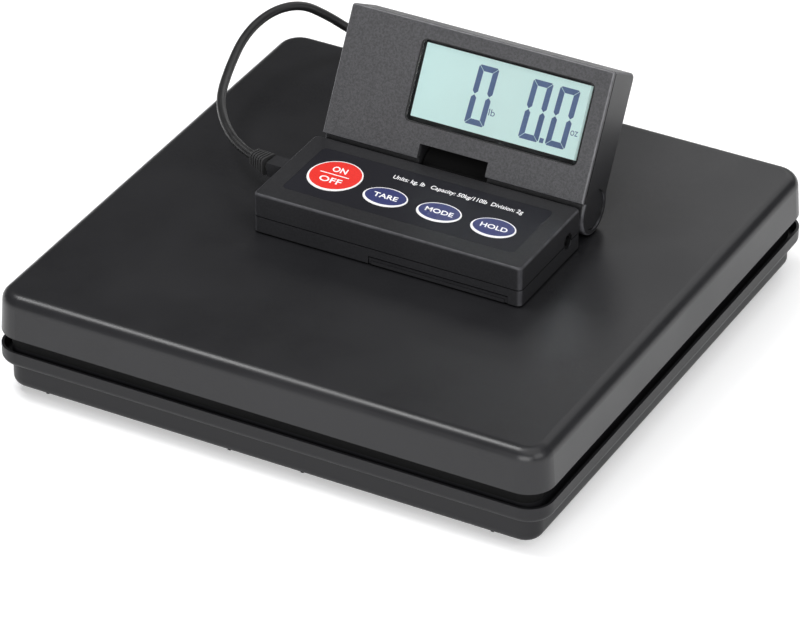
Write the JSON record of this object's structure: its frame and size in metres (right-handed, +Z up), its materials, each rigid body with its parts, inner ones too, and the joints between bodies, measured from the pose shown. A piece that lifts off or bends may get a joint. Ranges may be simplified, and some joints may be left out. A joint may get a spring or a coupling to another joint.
{
  "type": "platform shipping scale",
  "caption": "Square low platform scale whose lid rests on a load cell, with a tethered keypad unit and a tilting number display standing on top.",
  "frame": {"origin": "on the table, under the middle of the platform", "axes": "+Z up, +X to the right along the front edge of the platform, -Y towards the user"},
  "size_m": [0.3, 0.3466, 0.1389],
  "materials": {
    "cover_black": "semi-gloss moulded ABS with a fine grain",
    "tray_black": "satin moulded ABS",
    "housing_black": "satin moulded ABS with a light spark-eroded grain",
    "panel_grey": "fine spark-eroded grain, dark grey",
    "overlay_black": "printed polyester film, satin",
    "key_red": "printed film, satin, with a white ring",
    "key_blue": "printed film, satin, with a white ring",
    "rubber_black": "matt moulded rubber",
    "lead_black": "PVC jacket, satin",
    "zinc_steel": "zinc plated",
    "frame_steel": "black painted pressed steel",
    "cell_aluminium": "milled and anodised",
    "gauge_white": "white silicone",
    "board_green": "solder resist with parts",
    "pin_steel": "ground steel",
    "bush_nylon": "natural nylon",
    "battery_skin": "printed sleeve, plain",
    "spring_steel": "nickel plated",
    "window_clear": "clear acrylic",
    "lcd_aqua": "pale aqua liquid crystal glass",
    "light_white": "light guide"
  },
  "bodies": {
    "base": {"base_tray": "tray_black", "rubber_feet": "rubber_black", "lower_frame": "frame_steel", "frame_screws": "zinc_steel", "overload_stops": "zinc_steel", "load_cell": "cell_aluminium", "gauge_covers": "gauge_white", "lower_spacer": "zinc_steel", "cell_bolts_lower": "zinc_steel", "converter_board": "board_green", "rear_relief": "rubber_black", "display_lead": "lead_black", "cell_lead": "lead_black", "feed_lead": "lead_black"},
    "platform": {"platform_cover": "cover_black", "upper_frame": "frame_steel", "platform_buffers": "rubber_black", "cover_screws": "zinc_steel", "cell_bolts_upper": "zinc_steel", "upper_spacer": "zinc_steel"},
    "display_base": {"keypad_bottom_shell": "housing_black", "keypad_top_shell": "housing_black", "keypad_overlay": "overlay_black", "key_switches": "housing_black", "main_board": "board_green", "power_inlet": "housing_black", "battery_cells": "battery_skin", "battery_springs": "spring_steel", "battery_contacts": "spring_steel", "display_feet": "rubber_black", "housing_screws": "zinc_steel", "display_relief": "rubber_black", "hinge_pin": "pin_steel"},
    "power_key_cap": {"power_key": "key_red"},
    "tare_key_cap": {"tare_key": "key_blue"},
    "mode_key_cap": {"mode_key": "key_blue"},
    "hold_key_cap": {"hold_key": "key_blue"},
    "door": {"battery_door": "housing_black"},
    "display_panel": {"panel_back_shell": "panel_grey", "panel_front_shell": "panel_grey", "lcd_window": "window_clear", "lcd_glass": "lcd_aqua", "backlight": "light_white", "contact_strips": "rubber_black", "lcd_board": "board_green", "hinge_bushes": "bush_nylon", "hinge_caps": "housing_black", "panel_screws": "zinc_steel"}
  },
  "joints": [
    {"name": "platform_travel", "type": "slide", "parent": "base", "child": "platform", "axis": [0, 0, -1], "range_m": [0, 0.0005], "stiffness_N_per_m": 150000, "springref_m": -0.00016, "deforming": ["load_cell", "gauge_covers"]},
    {"name": "display_lift", "type": "slide", "parent": "platform", "child": "display_base", "axis": [0, 0, 1], "range_m": [0, 0.05]},
    {"name": "panel_tilt", "type": "hinge", "parent": "display_base", "child": "display_panel", "pos_m": [0, 0.0405, 0.0708], "axis": [-1, 0, 0], "range_deg": [-5, 60]},
    {"name": "power_press", "type": "slide", "parent": "display_base", "child": "power_key_cap", "axis": [0, 0, -1], "range_m": [0, 0.0004], "stiffness_N_per_m": 1500, "springref_m": -0.0006},
    {"name": "tare_press", "type": "slide", "parent": "display_base", "child": "tare_key_cap", "axis": [0, 0, -1], "range_m": [0, 0.0004], "stiffness_N_per_m": 1500, "springref_m": -0.0006},
    {"name": "mode_press", "type": "slide", "parent": "display_base", "child": "mode_key_cap", "axis": [0, 0, -1], "range_m": [0, 0.0004], "stiffness_N_per_m": 1500, "springref_m": -0.0006},
    {"name": "hold_press", "type": "slide", "parent": "display_base", "child": "hold_key_cap", "axis": [0, 0, -1], "range_m": [0, 0.0004], "stiffness_N_per_m": 1500, "springref_m": -0.0006},
    {"name": "door_slide", "type": "slide", "parent": "display_base", "child": "door", "axis": [0, -1, 0], "range_m": [0, 0.05]}
  ]
}
